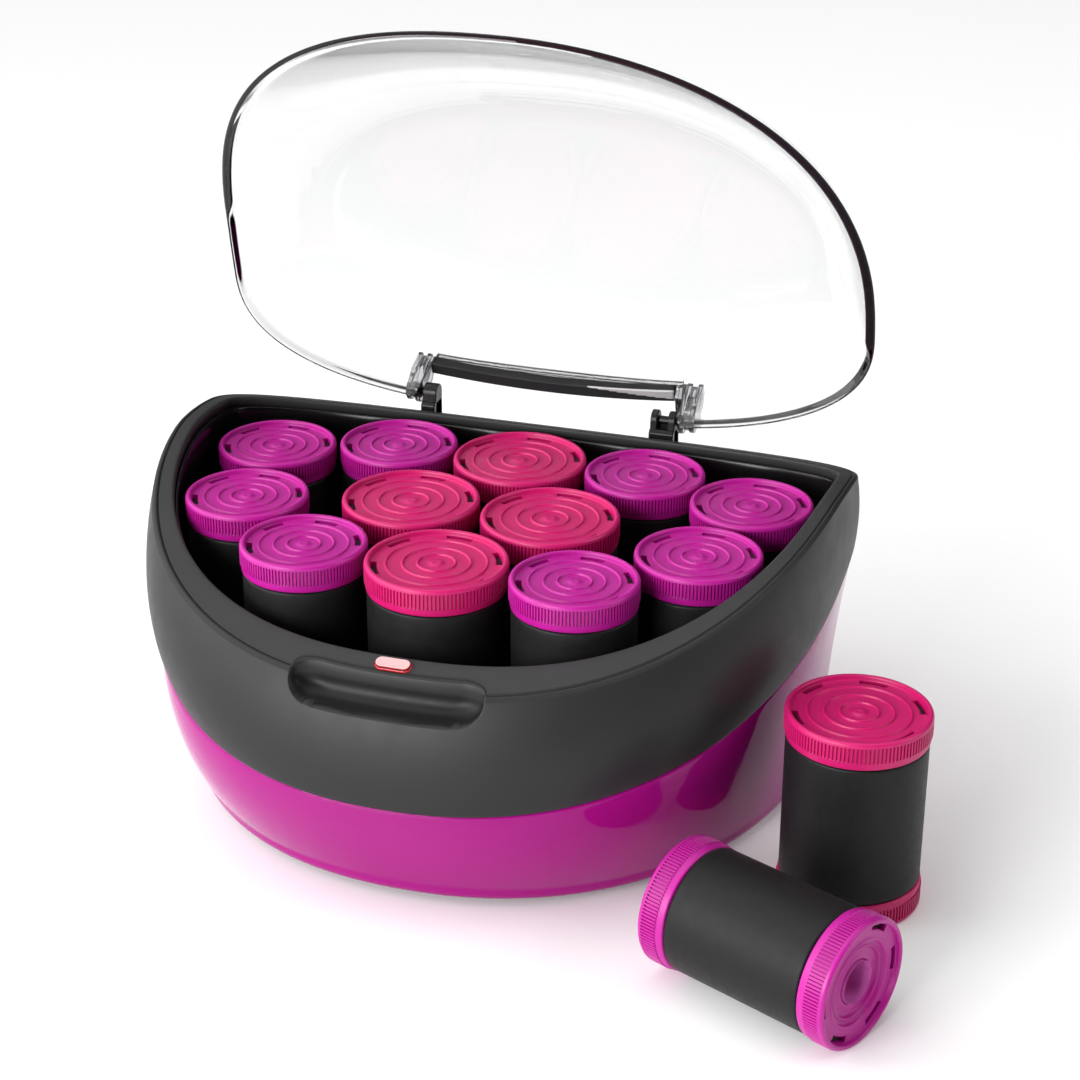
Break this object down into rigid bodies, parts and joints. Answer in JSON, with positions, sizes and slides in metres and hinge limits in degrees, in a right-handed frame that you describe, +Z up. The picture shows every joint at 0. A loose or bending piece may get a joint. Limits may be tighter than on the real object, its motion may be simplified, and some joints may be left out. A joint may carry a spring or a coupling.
{
  "type": "heated hair roller set",
  "caption": "Heated hair-roller set: domed clear-lidded heater case with flocked rollers on posts and two loose rollers beside it.",
  "frame": {"origin": "centre of the whole set's footprint, on the floor under the feet and the loose rollers", "axes": "+X to the user's right along the case's long side, +Y towards the hinge at the back, +Z up"},
  "size_m": [0.2788, 0.243, 0.2562],
  "materials": {
    "shell_magenta": "gloss",
    "bezel_charcoal": "satin",
    "tray_black": "matte",
    "lid_clear": "clear polished plastic",
    "cap_purple": "semi-gloss",
    "cap_pink": "semi-gloss",
    "flock_black": "velvet flock",
    "heater_aluminium": "satin",
    "element_steel": "satin",
    "ceramic_white": "matt",
    "lens_rose": "gloss",
    "lamp_red": "gloss",
    "foot_rubber": "matt",
    "trim_black": "matt"
  },
  "bodies": {
    "case": {"base_plate": "trim_black", "cord_gland": "trim_black", "foot_front_left": "foot_rubber", "foot_front_right": "foot_rubber", "foot_rear_left": "foot_rubber", "foot_rear_right": "foot_rubber", "heater_plate": "heater_aluminium", "heating_element": "element_steel", "hinge_pin_left": "element_steel", "hinge_pin_right": "element_steel", "indicator_lamp": "lamp_red", "indicator_lens": "lens_rose", "lower_shell": "shell_magenta", "roller_tray": "tray_black", "thermostat": "ceramic_white", "upper_bezel": "bezel_charcoal"},
    "lid": {"lid": "lid_clear", "lid_hinge_bar": "trim_black"},
    "loose_lying": {"loose_lying_barrel": "flock_black", "loose_lying_cap_bottom": "cap_purple", "loose_lying_cap_top": "cap_purple"},
    "loose_standing": {"loose_standing_barrel": "flock_black", "loose_standing_cap_bottom": "cap_pink", "loose_standing_cap_top": "cap_pink"},
    "roller_01": {"roller_01_barrel": "flock_black", "roller_01_cap_bottom": "cap_purple", "roller_01_cap_top": "cap_purple"},
    "roller_02": {"roller_02_barrel": "flock_black", "roller_02_cap_bottom": "cap_pink", "roller_02_cap_top": "cap_pink"},
    "roller_03": {"roller_03_barrel": "flock_black", "roller_03_cap_bottom": "cap_purple", "roller_03_cap_top": "cap_purple"},
    "roller_04": {"roller_04_barrel": "flock_black", "roller_04_cap_bottom": "cap_purple", "roller_04_cap_top": "cap_purple"},
    "roller_05": {"roller_05_barrel": "flock_black", "roller_05_cap_bottom": "cap_purple", "roller_05_cap_top": "cap_purple"},
    "roller_06": {"roller_06_barrel": "flock_black", "roller_06_cap_bottom": "cap_pink", "roller_06_cap_top": "cap_pink"},
    "roller_07": {"roller_07_barrel": "flock_black", "roller_07_cap_bottom": "cap_pink", "roller_07_cap_top": "cap_pink"},
    "roller_08": {"roller_08_barrel": "flock_black", "roller_08_cap_bottom": "cap_purple", "roller_08_cap_top": "cap_purple"},
    "roller_09": {"roller_09_barrel": "flock_black", "roller_09_cap_bottom": "cap_purple", "roller_09_cap_top": "cap_purple"},
    "roller_10": {"roller_10_barrel": "flock_black", "roller_10_cap_bottom": "cap_purple", "roller_10_cap_top": "cap_purple"},
    "roller_11": {"roller_11_barrel": "flock_black", "roller_11_cap_bottom": "cap_pink", "roller_11_cap_top": "cap_pink"},
    "roller_12": {"roller_12_barrel": "flock_black", "roller_12_cap_bottom": "cap_purple", "roller_12_cap_top": "cap_purple"}
  },
  "joints": [
    {"name": "lid_hinge", "type": "hinge", "parent": "case", "child": "lid", "pos_m": [-0.02179, 0.08807, 0.1058], "axis": [-1, 0, 0], "range_deg": [-72.5, 0]},
    {"name": "roller_01_lift", "type": "slide", "parent": "case", "child": "roller_01", "axis": [0, 0, 1], "range_m": [0, 0.045]},
    {"name": "roller_02_lift", "type": "slide", "parent": "case", "child": "roller_02", "axis": [0, 0, 1], "range_m": [0, 0.045]},
    {"name": "roller_03_lift", "type": "slide", "parent": "case", "child": "roller_03", "axis": [0, 0, 1], "range_m": [0, 0.045]},
    {"name": "roller_04_lift", "type": "slide", "parent": "case", "child": "roller_04", "axis": [0, 0, 1], "range_m": [0, 0.045]},
    {"name": "roller_05_lift", "type": "slide", "parent": "case", "child": "roller_05", "axis": [0, 0, 1], "range_m": [0, 0.045]},
    {"name": "roller_06_lift", "type": "slide", "parent": "case", "child": "roller_06", "axis": [0, 0, 1], "range_m": [0, 0.045]},
    {"name": "roller_07_lift", "type": "slide", "parent": "case", "child": "roller_07", "axis": [0, 0, 1], "range_m": [0, 0.045]},
    {"name": "roller_08_lift", "type": "slide", "parent": "case", "child": "roller_08", "axis": [0, 0, 1], "range_m": [0, 0.045]},
    {"name": "roller_09_lift", "type": "slide", "parent": "case", "child": "roller_09", "axis": [0, 0, 1], "range_m": [0, 0.045]},
    {"name": "roller_10_lift", "type": "slide", "parent": "case", "child": "roller_10", "axis": [0, 0, 1], "range_m": [0, 0.045]},
    {"name": "roller_11_lift", "type": "slide", "parent": "case", "child": "roller_11", "axis": [0, 0, 1], "range_m": [0, 0.045]},
    {"name": "roller_12_lift", "type": "slide", "parent": "case", "child": "roller_12", "axis": [0, 0, 1], "range_m": [0, 0.045]},
    {"name": "loose_standing_lift", "type": "slide", "parent": "case", "child": "loose_standing", "axis": [0, 0, 1], "range_m": [0, 0.05]},
    {"name": "loose_lying_lift", "type": "slide", "parent": "case", "child": "loose_lying", "axis": [0, 0, 1], "range_m": [0, 0.05]}
  ]
}
